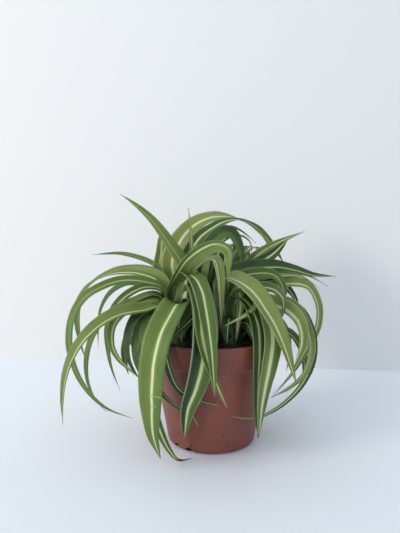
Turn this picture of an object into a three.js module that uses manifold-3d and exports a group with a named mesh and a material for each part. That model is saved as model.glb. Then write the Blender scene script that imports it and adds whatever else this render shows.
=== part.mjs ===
// Potted spider plant: four crowns of arching, striped leaves in a thin plastic nursery pot.
// Millimetres, +Z up, origin at the centre of the pot's underside, the front towards -Y.

import * as THREE from 'three';
import { mergeVertices } from 'three/addons/utils/BufferGeometryUtils.js';
import Module from 'manifold-3d';

// Pot
const potHeight = 98;
const rimRadius = 60;
const baseRadius = 43;
const baseEdgeRadius = 5;
const bandHeight = 22;
const bandFootRadius = 58.6;
const bandStep = 1.4;
const wallThickness = 1.3;
const floorThickness = 1.8;
const lipWidth = 2.2;
const potSides = 40;

// Drain holes, in pairs where the floor meets the wall
const drainRadius = 4.6;
const drainRing = 42.2;
const drainAngles = [-118, -139, 2, -19, 122, 101];

// Soil
const soilHeight = 88;
const soilLump = 1.6;
const gap = 0.3;

// Crowns: each stands in a plain hole in the soil, and its leaves part above a slim sheath
const footDepth = 12;
const footRadius = 7;
const neckRadius = 8.4;
const neckHeight = 96;
const sheathTop = 106;
const sheathTopRadius = 4.2;
const leafRoot = 90;
const leafSpread = 3;
const leafNesting = 0.15;
const crownSides = 12;

// Leaf blades
const bladeMiddle = 1;
const bladeEdge = 0.64;
const tipHalfWidth = 0.5;
const pathSteps = 48;
const stepCost = 1.5;
const spanCost = 42;
const fewestSpans = 4;
const smoothing = 0.1;
const footShare = 0.4;
const widestShare = 0.35;
const openGutter = 0.2;
const footGutter = 0.5;

const degrees = Math.PI / 180;
const up = new THREE.Vector3(0, 0, 1);

const wasm = await Module();
wasm.setup();

function toSolid(geometry) {
  const bare = geometry.clone();
  bare.deleteAttribute('normal');
  bare.deleteAttribute('uv');
  const merged = mergeVertices(bare, 1e-4);
  return new wasm.Manifold(new wasm.Mesh({
    numProp: 3,
    vertProperties: new Float32Array(merged.attributes.position.array),
    triVerts: new Uint32Array(merged.index.array),
  }));
}

function toGeometry(solid) {
  const mesh = solid.getMesh();
  const geometry = new THREE.BufferGeometry();
  geometry.setAttribute('position', new THREE.BufferAttribute(new Float32Array(mesh.vertProperties), 3));
  geometry.setIndex(new THREE.BufferAttribute(new Uint32Array(mesh.triVerts), 1));
  geometry.computeVertexNormals();
  return geometry;
}

// The body itself, with any small hollow that its leaves close off between them filled
function filled(solid) {
  const shells = solid.decompose();
  return shells.reduce((body, shell) => (shell.volume() > body.volume() ? shell : body));
}

// A turned solid about the Z axis, from [radius, height] pairs that run from the axis to the axis
function turned(profile, sides) {
  const points = profile.map(([radius, height]) => new THREE.Vector2(radius, height));
  return new THREE.LatheGeometry(points, sides).rotateX(Math.PI / 2);
}

// Points of an arc in a profile, about centre [radius, height], from one angle to another
function arc(centre, radius, from, to, steps) {
  return Array.from({ length: steps + 1 }, (_, i) => {
    const angle = (from + ((to - from) * i) / steps) * degrees;
    return [centre[0] + radius * Math.cos(angle), centre[1] + radius * Math.sin(angle)];
  });
}

// A small repeatable random number between 0 and 1
let seed = 4711;
function random() {
  seed = (seed * 16807) % 2147483647;
  return seed / 2147483647;
}

// The pot's inner wall
const bandFoot = potHeight - bandHeight;
const shoulderRadius = bandFootRadius - bandStep;
const innerBase = baseRadius - wallThickness;
const innerShoulder = shoulderRadius - wallThickness;
const innerRim = rimRadius - lipWidth;

function innerRadius(height) {
  const share = (height - baseEdgeRadius) / (bandFoot - baseEdgeRadius);
  return innerBase + (innerShoulder - innerBase) * share;
}

function makePot() {
  const lip = lipWidth / 2;
  const innerEdge = baseEdgeRadius - floorThickness;
  const profile = [
    [0, 0],
    ...arc([baseRadius - baseEdgeRadius, baseEdgeRadius], baseEdgeRadius, -90, 0, 3),
    [shoulderRadius, bandFoot],
    [bandFootRadius, bandFoot + bandStep],
    ...arc([rimRadius - lip, potHeight - lip], lip, 0, 180, 3),
    [innerRim, potHeight - 2 * lipWidth],
    [bandFootRadius - wallThickness, bandFoot + 2 * bandStep],
    [innerShoulder, bandFoot],
    ...arc([innerBase - innerEdge, baseEdgeRadius], innerEdge, 0, -90, 2),
    [0, floorThickness],
  ];
  let solid = toSolid(turned(profile, potSides));
  for (const angle of drainAngles) {
    const hole = new THREE.SphereGeometry(drainRadius, 10, 6);
    hole.translate(drainRing * Math.cos(angle * degrees), drainRing * Math.sin(angle * degrees), 0);
    solid = solid.subtract(toSolid(hole));
  }
  return toGeometry(solid);
}

// Soil level with its low lumps
function soilLevel(x, y) {
  const lumps = Math.sin(0.17 * x + 1) * Math.cos(0.21 * y) + 0.5 * Math.sin(0.43 * y - 0.31 * x);
  return soilHeight + soilLump * lumps;
}

function crownFoot([x, y], clearance) {
  const profile = [
    [0, soilHeight - footDepth - clearance],
    [footRadius + clearance, soilHeight - footDepth - clearance],
    [neckRadius + clearance, neckHeight],
    [0, neckHeight],
  ];
  return turned(profile, crownSides).translate(x, y, 0);
}

function makeSoil(feet) {
  const inner = (height) => innerRadius(height) - gap;
  const bottom = floorThickness + gap;
  const edge = inner(bandFoot) + 1;
  const rings = [42, 28, 14, 0];
  const profile = [
    [0, bottom],
    [inner(baseEdgeRadius) - baseEdgeRadius + floorThickness, bottom],
    [inner(baseEdgeRadius), baseEdgeRadius],
    [inner(bandFoot), bandFoot],
    [edge, soilHeight],
    ...rings.map((radius) => [radius, soilHeight]),
  ];
  const geometry = turned(profile, potSides);
  const position = geometry.attributes.position;
  for (let i = 0; i < position.count; i += 1) {
    const [x, y, z] = [position.getX(i), position.getY(i), position.getZ(i)];
    if (z > soilHeight - gap && Math.hypot(x, y) < edge - gap) {
      position.setZ(i, soilLevel(x, y));
    }
  }
  let solid = toSolid(geometry);
  for (const foot of feet) {
    solid = solid.subtract(toSolid(crownFoot(foot, gap)));
  }
  return toGeometry(solid);
}

// The middle line of a leaf through its marks, with the direction it runs in and the direction of
// its right-hand edge, which is carried along without turning about the line; bank then lifts it
function leafPath(marks, bank) {
  const points = marks.map((mark) => new THREE.Vector3(...mark));
  const curve = new THREE.CatmullRomCurve3(points, false, 'centripetal');
  const places = curve.getSpacedPoints(pathSteps);
  const heading = places[pathSteps / 2].clone().sub(places[0]).setZ(0).normalize();
  const side = heading.cross(up);
  return places.map((place, i) => {
    const before = places[Math.max(i - 1, 0)];
    const after = places[Math.min(i + 1, pathSteps)];
    const along = after.clone().sub(before).normalize();
    side.addScaledVector(along, -side.dot(along)).normalize();
    const turn = (i / pathSteps) * (bank.length - 1);
    const step = Math.min(Math.floor(turn), bank.length - 2);
    const angle = (bank[step] + (bank[step + 1] - bank[step]) * (turn - step)) * degrees;
    const right = side.clone().applyAxisAngle(along, -angle);
    return { place, along, right, face: right.clone().cross(along), share: i / pathSteps };
  });
}

// Places on the middle line that carry a ring of the blade, closer together where it bends
function ringPlaces(path) {
  const costs = path.map(({ along }, i) => {
    const before = path[Math.max(i - 1, 0)];
    return i ? stepCost * degrees + along.angleTo(before.along) : 0;
  });
  const total = costs.reduce((sum, cost) => sum + cost);
  const spans = Math.max(fewestSpans, Math.round(total / (spanCost * degrees)));
  const chosen = [path[0]];
  let cost = 0;
  path.forEach((at, i) => {
    cost += costs[i];
    if (cost > (total * chosen.length) / spans - 1e-9) chosen.push(at);
  });
  return chosen;
}

// Half width and gutter of a blade at a share of its length: narrow where it leaves the crown,
// widest past a third, then drawn out to a fine tip; the gutter opens out from the foot
function halfWidth(share, width, taper) {
  const swell = Math.sin((Math.PI / 2) * Math.min(1, share / widestShare));
  const rise = footShare + (1 - footShare) * swell;
  return Math.max(tipHalfWidth, (width / 2) * rise * (1 - share ** taper));
}

function gutter(share) {
  return openGutter + footGutter * (1 - share) ** 3;
}

// One closed blade: rings of six points, three on the upper face and three on the lower
function blade(leaf, root) {
  const rings = ringPlaces(leafPath([root, ...leaf.marks], leaf.bank));
  const positions = [];
  const indices = [];
  const ringSize = 6;
  for (const { place, right, face, share } of rings) {
    const half = halfWidth(share, leaf.width, leaf.taper);
    const rise = half * gutter(share);
    const ring = [
      [-1, rise + bladeEdge / 2],
      [0, bladeMiddle / 2],
      [1, rise + bladeEdge / 2],
      [1, rise - bladeEdge / 2],
      [0, -bladeMiddle / 2],
      [-1, rise - bladeEdge / 2],
    ];
    for (const [across, lift] of ring) {
      const point = place.clone().addScaledVector(right, across * half).addScaledVector(face, lift);
      positions.push(point.x, point.y, point.z);
    }
  }
  const last = rings.length - 1;
  for (let i = 0; i < last; i += 1) {
    for (let k = 0; k < ringSize; k += 1) {
      const a = i * ringSize + k;
      const b = i * ringSize + ((k + 1) % ringSize);
      const [c, d] = [b + ringSize, a + ringSize];
      if (k < 3) indices.push(a, b, c, a, c, d);
      else indices.push(a, b, d, b, c, d);
    }
  }
  const end = last * ringSize;
  indices.push(0, 5, 1, 1, 5, 4, 1, 4, 2, 2, 4, 3);
  indices.push(end, end + 1, end + 5, end + 1, end + 4, end + 5);
  indices.push(end + 1, end + 2, end + 4, end + 2, end + 3, end + 4);
  const geometry = new THREE.BufferGeometry();
  geometry.setAttribute('position', new THREE.Float32BufferAttribute(positions, 3));
  geometry.setIndex(indices);
  return geometry;
}

// Marks and curl of a leaf that follows the rule alone, and the spread of its random draws
const farMarks = 6;
const stepsPerMark = 4;
const farCurl = 12;
const farTaper = 2.8;
const headingSpread = 12;
const liftSpread = 16;
const reachSpread = 50;
const bankSpread = 50;
const narrowest = 14;
const widthSpread = 8;
const holdLeast = 0.8;
const holdSpread = 0.4;

// A leaf that follows the rule alone: it leaves the crown at its lift, holds that for a while and
// bends down
function archedLeaf(root, { heading, lift, fall, hold, length, width, bank }) {
  const steps = farMarks * stepsPerMark;
  const stepLength = length / steps;
  const place = new THREE.Vector3(...root);
  const marks = [];
  for (let i = 1; i <= steps; i += 1) {
    const share = i / steps;
    const slope = (lift - fall * share ** hold) * degrees;
    const turn = (heading + farCurl * share) * degrees;
    place.x += stepLength * Math.cos(slope) * Math.cos(turn);
    place.y += stepLength * Math.cos(slope) * Math.sin(turn);
    place.z += stepLength * Math.sin(slope);
    if (i % stepsPerMark === 0) marks.push(place.toArray());
  }
  return { width, taper: farTaper, bank: [0, bank], marks };
}

// Leaves on the far side: spread over an arc of headings, each a little different; a longer one
// bends further down
function archedLeaves(root, { from, to, count, lift, fall, hold, length }) {
  return Array.from({ length: count }, (_, i) => {
    const reach = random();
    return archedLeaf(root, {
      heading: from + ((to - from) * (i + 0.5)) / count + headingSpread * (random() - 0.5),
      lift: lift + liftSpread * (random() - 0.5),
      fall: fall + reachSpread * (reach - 0.5),
      hold: hold * (holdLeast + holdSpread * random()),
      length: length + reachSpread * (reach - 0.5),
      width: narrowest + widthSpread * random(),
      bank: bankSpread * (random() - 0.5),
    });
  });
}

// Crowns with the leaves that show, each through a few marks on its middle line. Bank is the
// turn about that line in degrees from foot to tip; taper is high where a blade stays broad long.
const crowns = [
  {
    name: 'crown_left',
    foot: [-33, -12],
    leaves: [
      // Arching to the left, from the top one down
      { width: 16, taper: 2.4, bank: [20, 38, 55, 50, 45, 28, 90, 105, 105], marks: [[-49, 0, 154],
        [-67, 8, 163], [-92, 18, 165], [-115, 26, 160], [-134, 28, 147], [-143, 26, 129],
        [-143, 22, 109], [-137, 16, 88], [-130, 12, 72]] },
      { width: 10, taper: 3.4, bank: [20, 50, 50, 40], marks: [[-46, -12, 147], [-63, -17, 154],
        [-83, -23, 156], [-100, -30, 151], [-116, -35, 141], [-126, -38, 125],
        [-129, -40, 104], [-125, -42, 82], [-113, -44, 60], [-94, -46, 43], [-70, -47, 34]] },
      { width: 14, taper: 2.2, bank: [10, 45, 50, 45], marks: [[-46, -22, 131], [-64, -34, 130],
        [-84, -47, 127], [-102, -57, 116], [-115, -64, 99], [-122, -68, 80], [-125, -68, 57],
        [-125, -66, 35]] },
      { width: 12, taper: 2.4, bank: [20, 50, 40], marks: [[-47, -8, 144], [-62, -10, 149],
        [-79, -14, 143], [-93, -18, 129], [-99, -21, 110], [-98, -22, 89], [-94, -22, 70],
        [-87, -22, 52]] },
      { width: 10, taper: 2.4, bank: [10, 40, 70, 75], marks: [[-49, 2, 151], [-70, 12, 152],
        [-88, 20, 152], [-107, 26, 143], [-119, 30, 126], [-123, 32, 103], [-123, 32, 81]] },
      { width: 10, taper: 2.4, bank: [10, 40, 40], marks: [[-51, -16, 141], [-74, -27, 136],
        [-95, -37, 124], [-106, -45, 107], [-110, -50, 89], [-109, -51, 69], [-102, -50, 51],
        [-92, -49, 40]] },
      { width: 12, taper: 2.4, bank: [20, 50, 50], marks: [[-53, -20, 136], [-78, -30, 129],
        [-90, -35, 115], [-91, -36, 96], [-84, -34, 82], [-76, -32, 74], [-65, -29, 63]] },
      { width: 11, taper: 3, bank: [20, 50, 30], marks: [[-47, -15, 129], [-57, -21, 130],
        [-68, -26, 125], [-75, -31, 113], [-78, -33, 99], [-77, -32, 85], [-73, -30, 74],
        [-66, -27, 62]] },
      { width: 14, taper: 3, bank: [20, 50, 30], marks: [[-49, -13, 123], [-58, -20, 125],
        [-64, -26, 117], [-68, -30, 104], [-70, -32, 91], [-69, -32, 79], [-65, -31, 66]] },
      { width: 14, taper: 3, bank: [30, 20], marks: [[-49, -18, 131], [-60, -30, 112],
        [-64, -33, 91], [-61, -32, 71]] },
      // Broad leaves hanging over the front of the pot, and the one whose tip lies on the table
      { width: 26.5, taper: 4, bank: [0, 0], marks: [[-30, -36, 134], [-38, -56, 122],
        [-44, -69, 107], [-47, -77, 89], [-48, -80, 69], [-48, -79, 49], [-47, -75, 29],
        [-42, -69, 9]] },
      { width: 15, taper: 3, bank: [0, 0, 0, 30], marks: [[-39, -28, 134], [-47, -46, 112],
        [-52, -58, 84], [-51, -63, 58], [-45, -63, 35], [-37, -61, 15], [-28, -58, 3],
        [-17, -55, 3]] },
      { width: 24, taper: 5.5, bank: [0, 0], marks: [[-16, -20, 146], [-8, -43, 130],
        [-6, -61, 110], [-8, -67, 88], [-13, -67, 68], [-20, -66, 48], [-23, -61, 22]] },
      { width: 20, taper: 3.2, bank: [0, 0], marks: [[-24, -20, 159], [-15, -36, 157],
        [-8, -51, 144], [-4, -63, 126], [-1, -70, 107], [1, -74, 88], [2, -75, 73],
        [3, -74, 60]] },
      { width: 15, taper: 3, bank: [0, 0], marks: [[-18, -24, 149], [-10, -52, 132], [-8, -67, 111],
        [-3, -71, 91], [5, -73, 70], [14, -72, 50]] },
      // Narrow leaf and broad leaf that arch to the right over the middle and fold down
      { width: 14, taper: 3.2, bank: [-50, -35, -25, 0, 20], marks: [[-27, -12, 158],
        [-14, -16, 167], [-3, -20, 175], [4, -25, 176], [8, -33, 163], [9, -37, 140],
        [9, -38, 114]] },
      { width: 18, taper: 3.2, bank: [-200, -200, -195, -165, -125, -105, -90],
        marks: [[-41, -18, 144], [-32, -24, 159], [-22, -27, 172], [-8, -27, 183],
        [6, -27, 188], [15, -30, 183], [16, -36, 170], [15, -40, 153]] },
      // Thin leaves that hang low and curl across the pot, and short ones behind the broad leaves
      { width: 9, taper: 2.6, bank: [0, 10, 20], marks: [[-42, -34, 131], [-43, -50, 108],
        [-38, -57, 84], [-29, -59, 64], [-14, -58, 54], [9, -55, 48]] },
      { width: 7, taper: 2.6, bank: [0, 10, 20], marks: [[-48, -30, 126], [-52, -48, 95],
        [-47, -55, 66], [-33, -56, 50], [-18, -55, 41], [-9, -50, 24]] },
      { width: 11, taper: 3, bank: [0, -10], marks: [[-22, -24, 138], [-12, -38, 130],
        [-20, -46, 119], [-32, -50, 108], [-40, -52, 98]] },
      { width: 12, taper: 3, bank: [-80, -80, -70, -45, -30], marks: [[-20, -14, 116],
        [-8, -14, 128], [1, -20, 126], [5, -30, 112], [6, -36, 100]] },
      { width: 14, taper: 5, bank: [-137, -137], marks: [[-29, -20, 122], [-28, -20, 140],
        [-26, -19, 155], [-21, -17, 168]] },
    ],
    far: [{ from: 118, to: 142, count: 3, lift: 56, fall: 170, hold: 1.1, length: 110 }],
  },
  {
    name: 'crown_middle',
    foot: [-13, 20],
    leaves: [
      // Two spears, and a thin leaf out to the left
      { width: 15.5, taper: 2.6, bank: [100, 110, 112], marks: [[-23, 10, 159], [-30, 6, 175],
        [-44, 3, 196], [-59, 0, 216], [-74, -2, 230], [-91, -4, 242]] },
      { width: 8.5, taper: 2.2, bank: [130, 150, 150], marks: [[-18, 8, 174], [-20, 5, 191],
        [-21, 3, 208], [-23, 1, 229]] },
      { width: 10, taper: 2.4, bank: [20, -50, -60], marks: [[-52, 26, 163], [-66, 34, 174],
        [-84, 42, 181], [-105, 48, 185], [-136, 54, 184]] },
      // High arches over to the right, three broad and two thin
      { width: 23, taper: 4, bank: [-10, 10, 15, 38, 85, 100], marks: [[-42, 26, 171],
        [-35, 32, 195], [-17, 38, 216], [4, 44, 225], [28, 50, 224], [51, 56, 214],
        [69, 62, 197], [85, 68, 174]] },
      { width: 16, taper: 3.4, bank: [-60, -50, -50, -10, -50], marks: [[-28, 16, 170],
        [-22, 18, 185], [-11, 22, 201], [2, 27, 211], [16, 33, 219], [32, 39, 221],
        [48, 42, 214], [59, 43, 201], [66, 43, 186]] },
      { width: 16, taper: 7, bank: [-60, -110, -150], marks: [[-8, 14, 174], [0, 18, 194],
        [12, 24, 206], [22, 30, 206], [29, 32, 195], [33, 32, 182], [34, 32, 170]] },
      { width: 6, taper: 3, bank: [-20, -40, -40], marks: [[-15, 30, 175], [-8, 32, 188],
        [1, 35, 201], [10, 38, 210], [19, 40, 214], [29, 42, 212], [40, 44, 205],
        [50, 45, 196]] },
      { width: 6, taper: 2.4, bank: [30, 30], marks: [[3, 24, 174], [15, 34, 198],
        [32, 40, 204], [43, 42, 197], [45, 42, 179]] },
      // Upright leaves that bend away to the back
      { width: 17, taper: 3, bank: [60, 60, 20], marks: [[-55, 30, 164], [-55, 36, 184],
        [-55, 50, 203], [-50, 66, 208], [-45, 80, 198]] },
      { width: 20, taper: 3, bank: [55, 55, 20], marks: [[-45, 32, 160], [-44, 38, 177],
        [-41, 52, 192], [-36, 68, 198], [-31, 82, 191]] },
      { width: 20, taper: 3, bank: [0, 0], marks: [[-21, 30, 134], [-23, 36, 161],
        [-24, 50, 184], [-20, 70, 197], [-15, 88, 191]] },
    ],
    far: [{ from: 118, to: 148, count: 4, lift: 70, fall: 190, hold: 1.4, length: 165 }],
  },
  {
    name: 'crown_right',
    foot: [20, -2],
    leaves: [
      // Broad leaf to the right front, and the flat dark one with two thin ones behind it
      { width: 24, taper: 3.4, bank: [-10, -24, -24], marks: [[14, -14, 157], [27, -26, 155],
        [39, -36, 146], [50, -45, 130], [59, -52, 112], [65, -56, 95], [72, -59, 69]] },
      { width: 18, taper: 2.6, bank: [-20, -60, -60, -50], marks: [[13, 8, 158], [28, 14, 166],
        [47, 22, 170], [70, 30, 171], [91, 36, 167], [112, 40, 161], [137, 42, 159]] },
      { width: 9, taper: 2.4, bank: [-20, -60, -50, -40], marks: [[29, 4, 153], [52, 12, 158],
        [76, 20, 160], [96, 26, 159], [116, 30, 146]] },
      { width: 8, taper: 2.4, bank: [-20, -60, -50, -40], marks: [[28, 16, 159], [54, 28, 164],
        [84, 38, 164], [109, 44, 159], [130, 48, 148]] },
      // Long leaves that loop out to the right and back under
      { width: 13, taper: 2.4, bank: [-20, -65, -75, -80], marks: [[29, 6, 142], [56, 14, 147],
        [83, 22, 153], [103, 26, 149], [113, 26, 131], [112, 22, 108], [97, 12, 83],
        [81, 2, 63], [60, -6, 42]] },
      { width: 10, taper: 1.9, bank: [-20, -55, -65, -65, -60], marks: [[29, -4, 132],
        [50, -3, 134], [73, -2, 135], [90, -3, 124], [99, -7, 103], [98, -13, 80],
        [85, -22, 58], [62, -34, 41], [37, -45, 34], [15, -53, 39]] },
      { width: 12, taper: 3.4, bank: [-10, -50, -50, -50], marks: [[30, -8, 133], [54, -8, 136],
        [77, -10, 133], [90, -14, 116], [95, -19, 93], [88, -23, 70], [73, -27, 57],
        [55, -30, 48]] },
      { width: 16, taper: 3.4, bank: [-10, -50, -80, -90], marks: [[30, -12, 132], [51, -14, 136],
        [75, -18, 128], [85, -22, 115], [86, -25, 98], [77, -28, 76]] },
      { width: 13, taper: 3, bank: [-60, -70, -80, -80], marks: [[27, 2, 156], [48, 6, 163],
        [66, 10, 160], [74, 8, 145], [70, 3, 132], [69, -2, 116]] },
      { width: 13, taper: 3, bank: [0, -30, -60, -70], marks: [[33, 0, 142], [48, -5, 149],
        [62, -12, 147], [69, -19, 138], [68, -24, 127], [64, -27, 118]] },
      { width: 14, taper: 3, bank: [-30, -60, -70], marks: [[38, 14, 145], [58, 20, 154],
        [75, 24, 151], [88, 24, 137], [92, 20, 118]] },
      // The pair that hangs straight down over the front, and thin and short ones in the hollow
      { width: 22, taper: 3.4, bank: [-20, 0, 0], marks: [[26, -12, 138], [36, -27, 133],
        [42, -40, 117], [43, -48, 98], [42, -50, 76], [41, -49, 52], [41, -45, 17]] },
      { width: 22, taper: 3.4, bank: [-20, -10, -10, 0], marks: [[30, -9, 143], [44, -24, 138],
        [51, -37, 123], [53, -48, 102], [49, -54, 81], [44, -55, 55], [41, -50, 19]] },
      { width: 10, taper: 2.4, bank: [-20, 20, 20], marks: [[24, -8, 144], [37, -20, 144],
        [42, -31, 136], [34, -39, 127], [22, -45, 121], [9, -50, 115]] },
      { width: 10, taper: 3, bank: [0, 0], marks: [[26, -8, 149], [28, -18, 134], [25, -31, 118],
        [22, -43, 100]] },
      { width: 12, taper: 3, bank: [0, 10], marks: [[19, -14, 112], [17, -26, 120],
        [15, -38, 112], [14, -44, 100]] },
      { width: 16, taper: 3, bank: [-110, -100, -75, -60], marks: [[30, -12, 112], [42, -24, 110],
        [48, -34, 100]] },
      { width: 14, taper: 3, bank: [-145, -130, -60, -30], marks: [[26, -14, 112], [33, -28, 116],
        [37, -40, 106], [38, -46, 101]] },
    ],
    far: [{ from: 16, to: 46, count: 3, lift: 56, fall: 170, hold: 1.1, length: 140 }],
  },
  {
    name: 'crown_back',
    foot: [10, 36],
    leaves: [
      // Two folded leaves that point up to the right
      { width: 16, taper: 2.3, bank: [-40, -75, -60], marks: [[32, 40, 162], [43, 44, 175],
        [57, 47, 187], [73, 50, 196], [106, 54, 210]] },
      { width: 16, taper: 6, bank: [-40, -85, -75], marks: [[38, 32, 161], [50, 35, 172],
        [66, 38, 182], [85, 42, 200]] },
      // Upright leaves behind the middle
      { width: 20, taper: 3, bank: [40, 40, 0], marks: [[-2, 44, 133], [-7, 48, 166], [-6, 60, 194],
        [1, 80, 205], [9, 98, 196]] },
      { width: 20, taper: 3, bank: [0, 0], marks: [[10, 42, 133], [13, 46, 164], [17, 58, 187],
        [24, 76, 197], [31, 92, 191]] },
    ],
    far: [
      { from: 40, to: 112, count: 5, lift: 78, fall: 205, hold: 2.2, length: 205 },
      { from: 40, to: 104, count: 6, lift: 60, fall: 170, hold: 1.1, length: 140 },
    ],
  },
];

function makeCrown({ foot, leaves, far }) {
  const [x, y] = foot;
  const sheath = turned([
    [0, soilHeight - footDepth],
    [footRadius, soilHeight - footDepth],
    [neckRadius, neckHeight],
    [sheathTopRadius, sheathTop],
    [0, sheathTop],
  ], crownSides).translate(x, y, 0);
  const farLeaves = far.flatMap((group) => archedLeaves([x, y, leafRoot], group));
  const blades = [...leaves, ...farLeaves].map((leaf) => {
    const [markX, markY, markZ] = leaf.marks[0];
    const spread = leafSpread / Math.hypot(markX - x, markY - y);
    const rootHeight = leafRoot + leafNesting * (markZ - sheathTop);
    const root = [x + spread * (markX - x), y + spread * (markY - y), rootHeight];
    return toSolid(blade(leaf, root));
  });
  const crown = blades.reduce((solid, next) => solid.add(next), toSolid(sheath));
  return toGeometry(filled(crown.simplify(smoothing)));
}

const materials = {
  pot: new THREE.MeshStandardMaterial({ color: 0x7a4a40, roughness: 0.5, metalness: 0 }),
  soil: new THREE.MeshStandardMaterial({ color: 0x241c16, roughness: 1, metalness: 0 }),
  leaf: new THREE.MeshStandardMaterial({ color: 0x5f8240, roughness: 0.55, metalness: 0 }),
};

function addPiece(group, name, geometry, material) {
  const mesh = new THREE.Mesh(geometry, material);
  mesh.name = name;
  group.add(mesh);
}

const plant = new THREE.Group();
addPiece(plant, 'pot', makePot(), materials.pot);
addPiece(plant, 'soil', makeSoil(crowns.map((crown) => crown.foot)), materials.soil);
for (const crown of crowns) {
  addPiece(plant, crown.name, makeCrown(crown), materials.leaf);
}

export default plant;
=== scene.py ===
# %% [markdown]
# # A spider plant in a plastic nursery pot
# The CAD frame has the plant's true size: a thin pot, the soil in it, and four crowns of leaves.
# This script dresses it. The pot is turned again with round edges, the soil gets its crumbs, and
# each leaf becomes a thin folded blade with its cream stripe, fine veins and a dry tip.

# %% Load the frame
import math
import bmesh
import bpy
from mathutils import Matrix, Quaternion, Vector


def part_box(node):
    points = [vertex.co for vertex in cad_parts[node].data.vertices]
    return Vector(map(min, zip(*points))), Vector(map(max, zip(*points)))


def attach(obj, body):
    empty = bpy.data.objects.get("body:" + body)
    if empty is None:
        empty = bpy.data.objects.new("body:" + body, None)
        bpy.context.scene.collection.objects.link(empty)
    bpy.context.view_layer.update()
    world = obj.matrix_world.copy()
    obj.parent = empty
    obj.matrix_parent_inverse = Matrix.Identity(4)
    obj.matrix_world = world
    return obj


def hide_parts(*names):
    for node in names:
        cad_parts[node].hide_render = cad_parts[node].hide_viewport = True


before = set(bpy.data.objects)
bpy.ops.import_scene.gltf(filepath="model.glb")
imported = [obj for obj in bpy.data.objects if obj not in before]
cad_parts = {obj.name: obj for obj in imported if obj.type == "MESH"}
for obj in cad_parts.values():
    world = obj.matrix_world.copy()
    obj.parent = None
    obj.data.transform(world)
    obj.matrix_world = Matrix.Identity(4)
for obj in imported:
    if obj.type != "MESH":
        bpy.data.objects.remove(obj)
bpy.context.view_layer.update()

mm = 0.001
print("CAD nodes:", sorted(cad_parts))

# %% [markdown]
# ## The camera
# The photograph looks at the plant from about 40 cm away, level with the leaves, so near leaves
# look larger than far ones. A wide lens close by gives that; a long lens far off would flatten it.
# The camera is turned and tilted by a degree or so, because the plant isn't quite in the middle.

# %% Camera
camera_distance = 402 * mm
camera_height = 163 * mm
camera_turn = 1.6
camera_tilt = 0.9


def new_object(name, data):
    made = bpy.data.objects.new(name, data)
    bpy.context.scene.collection.objects.link(made)
    return made


camera = new_object("camera", bpy.data.cameras.new("camera"))
camera.location = (0, -camera_distance, camera_height)
camera.rotation_euler = (math.radians(90 + camera_tilt), 0, math.radians(camera_turn))
camera.data.lens = 27.02
camera.data.sensor_width = 36
camera.data.clip_start = 10 * mm
bpy.context.scene.camera = camera
bpy.context.scene.view_settings.view_transform = "Standard"
print("Camera at", tuple(round(v, 3) for v in camera.location))

# %% [markdown]
# ## Node helpers
# Every material and every Geometry Nodes tree below is built from the same moves: add a node and
# fill its inputs, with values or with links from other sockets. A socket knows the tree that it is
# in, so the arithmetic needs no more than the sockets and numbers that go into it.

# %% Nodes and arithmetic
def fill(node, inputs):
    for key, value in inputs.items():
        if isinstance(value, bpy.types.NodeSocket):
            node.id_data.links.new(value, node.inputs[key])
        else:
            node.inputs[key].default_value = value


def add(tree, kind, inputs=None, output=0, **settings):
    """Adds a node with these inputs and settings, and hands back one of its outputs."""
    node = tree.nodes.new(kind)
    for name, value in settings.items():
        setattr(node, name, value)
    fill(node, inputs or {})
    return node.outputs[output]


def tree_of(values):
    return next(value.id_data for value in values if isinstance(value, bpy.types.NodeSocket))


def maths(operation, *values):
    inputs = dict(enumerate(values))
    return add(tree_of(values), "ShaderNodeMath", inputs, operation=operation)


def plus(a, b):
    return maths("ADD", a, b)


def minus(a, b):
    return maths("SUBTRACT", a, b)


def times(a, b):
    return maths("MULTIPLY", a, b)


def times_plus(a, factor, extra):
    return maths("MULTIPLY_ADD", a, factor, extra)


def vector_maths(operation, first, second):
    inputs = {0: first, "Scale" if operation == "SCALE" else 1: second}
    return add(first.id_data, "ShaderNodeVectorMath", inputs, operation=operation)


print("Node helpers: fill, add, plus, minus, times, times_plus")

# %% [markdown]
# A mask that rises smoothly from 0 to 1 between two values is what most patterns are drawn with,
# and colours are laid over each other through such masks.

# %% Masks and colour layers
def smooth_step(value, start, end):
    inputs = {"Value": value, "From Min": start, "From Max": end}
    return add(value.id_data, "ShaderNodeMapRange", inputs, interpolation_type="SMOOTHSTEP")


def layer(mask, below, above):
    """The colour above laid over the one below, where and as strongly as the mask says."""
    below, above = (value if isinstance(value, bpy.types.NodeSocket) else (*value, 1)
                    for value in (below, above))
    inputs = {0: mask, 6: below, 7: above}
    return add(mask.id_data, "ShaderNodeMix", inputs, output=2, data_type="RGBA")


def layered(below, *coats):
    """Coats of colour laid one over another, each through its mask and with its strength."""
    for mask, strength, above in coats:
        below = layer(times(mask, strength), below, above)
    return below


def noise(place, scale, detail):
    inputs = {"Vector": place, "Scale": scale, "Detail": detail}
    return add(place.id_data, "ShaderNodeTexNoise", inputs)


def new_material(name):
    material = bpy.data.materials.new(name)
    material.use_nodes = True
    return material, material.node_tree, material.node_tree.nodes["Principled BSDF"]


print("Pattern helpers: smooth_step, layer, layered, noise")

# %% [markdown]
# ## Two effects that several finishes share
# No grown or moulded surface has one even tone. The first group, mottle, is a slow change of tone
# that depends on the place in the object. The second, soil_dust, is the brown dust that potting
# mix leaves: dense low down or near the soil, and broken up by noise. Each is a node group that is
# built once and placed in a material with that material's own values.

# %% Shared shader groups
def shader_group(name, inputs, output):
    group = bpy.data.node_groups.new(name, "ShaderNodeTree")
    for label, value in inputs.items():
        socket = group.interface.new_socket(label, in_out="INPUT", socket_type="NodeSocketFloat")
        socket.default_value = value
    group.interface.new_socket(output, in_out="OUTPUT", socket_type="NodeSocketFloat")
    return group, group.nodes.new("NodeGroupInput").outputs, group.nodes.new("NodeGroupOutput")


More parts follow.
